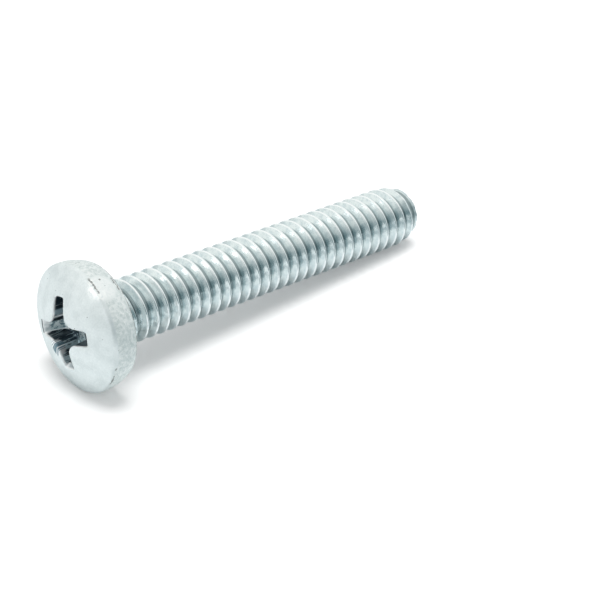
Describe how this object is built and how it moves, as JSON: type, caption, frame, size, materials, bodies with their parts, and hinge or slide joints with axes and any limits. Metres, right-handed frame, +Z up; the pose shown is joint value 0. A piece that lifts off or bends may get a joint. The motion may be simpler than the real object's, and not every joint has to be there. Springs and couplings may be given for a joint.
{
  "type": "machine screw",
  "caption": "Pan head machine screw with a cross recess and a right-hand thread almost to the head, lying on its side.",
  "frame": {"origin": "centre of the bounding box at floor level, with the screw lying on its side as it comes to rest", "axes": "+X runs along the screw from the head to the tip, which dips 4.6 degrees below level; +Z is up"},
  "size_m": [0.0282, 0.008, 0.008],
  "materials": {
    "zinc_plated_steel": "bright clear zinc plate over rolled and cold-headed steel"
  },
  "bodies": {
    "root": {"machine_screw": "zinc_plated_steel"}
  },
  "joints": []
}
